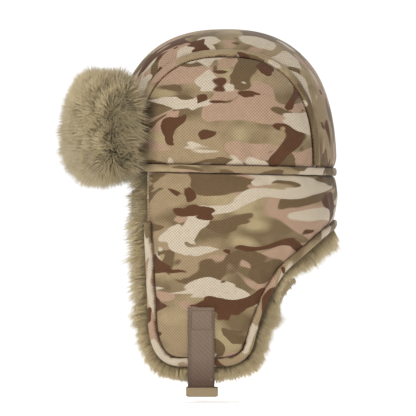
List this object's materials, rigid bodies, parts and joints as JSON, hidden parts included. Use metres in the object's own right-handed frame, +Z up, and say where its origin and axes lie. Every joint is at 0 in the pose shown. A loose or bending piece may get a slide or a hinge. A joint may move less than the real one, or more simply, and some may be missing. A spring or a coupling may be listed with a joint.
{
  "type": "trapper hat",
  "caption": "Padded cloth trapper hat with a fur-faced front flap, fur-lined ear flaps that fold up, a neck curtain and a buckled chin strap.",
  "frame": {"origin": "middle of the head opening, in the plane of the seam between the crown and the skirt", "axes": "+Z up through the crown, -Y out of the front of the hat, +X towards the wearer's left"},
  "size_m": [0.2, 0.2758, 0.3669],
  "materials": {
    "camo_cloth": "matte",
    "welt_cloth": "matte",
    "fur": "matte",
    "wadding": "matte",
    "lining": "satin",
    "sweatband_knit": "matte",
    "webbing": "matte",
    "buckle_resin": "satin"
  },
  "bodies": {
    "crown": {"crown_side_left": "camo_cloth", "crown_side_right": "camo_cloth", "crown_gusset": "camo_cloth", "side_wadding_left": "wadding", "side_wadding_right": "wadding", "top_wadding": "wadding", "crown_lining": "lining", "crown_welt_left": "welt_cloth", "crown_welt_right": "welt_cloth", "band_welt": "welt_cloth", "sweatband": "sweatband_knit", "skirt_cloth": "camo_cloth", "skirt_wadding": "wadding", "skirt_fur": "fur", "neck_binding": "welt_cloth", "neck_fur": "fur", "cheek_fur_left": "fur", "cheek_fur_right": "fur"},
    "front_flap": {"front_flap_cloth": "camo_cloth", "front_flap_wadding": "wadding", "front_flap_fur": "fur"},
    "left_ear_flap": {"left_flap_cloth": "camo_cloth", "left_flap_wadding": "wadding", "left_flap_binding": "welt_cloth", "left_flap_fur": "fur", "left_strap": "webbing", "buckle_socket": "buckle_resin"},
    "right_ear_flap": {"right_flap_cloth": "camo_cloth", "right_flap_wadding": "wadding", "right_flap_binding": "welt_cloth", "right_flap_fur": "fur", "right_strap": "webbing", "buckle_plug": "buckle_resin"},
    "arm_front": {"plug_arm_front": "buckle_resin"},
    "arm_rear": {"plug_arm_rear": "buckle_resin"}
  },
  "joints": [
    {"name": "front_flap_fold", "type": "hinge", "parent": "crown", "child": "front_flap", "pos_m": [0, -0.116, -0.014], "axis": [1, 0, 0], "range_deg": [0, 80]},
    {"name": "left_ear_flap_fold", "type": "hinge", "parent": "crown", "child": "left_ear_flap", "pos_m": [0.0915, -0.077, -0.057], "axis": [0, -0.9459, 0.3245], "range_deg": [0, 150]},
    {"name": "right_ear_flap_fold", "type": "hinge", "parent": "crown", "child": "right_ear_flap", "pos_m": [-0.0915, -0.077, -0.057], "axis": [0, 0.9459, -0.3245], "range_deg": [0, 150]},
    {"name": "arm_front_squeeze", "type": "hinge", "parent": "right_ear_flap", "child": "arm_front", "pos_m": [0.04974, -0.031, -0.223], "axis": [0, 0, -1], "range_deg": [0, 8], "stiffness_Nm_per_rad": 0.1},
    {"name": "arm_rear_squeeze", "type": "hinge", "parent": "right_ear_flap", "child": "arm_rear", "pos_m": [0.04974, -0.015, -0.223], "axis": [0, 0, 1], "range_deg": [0, 8], "stiffness_Nm_per_rad": 0.1}
  ]
}
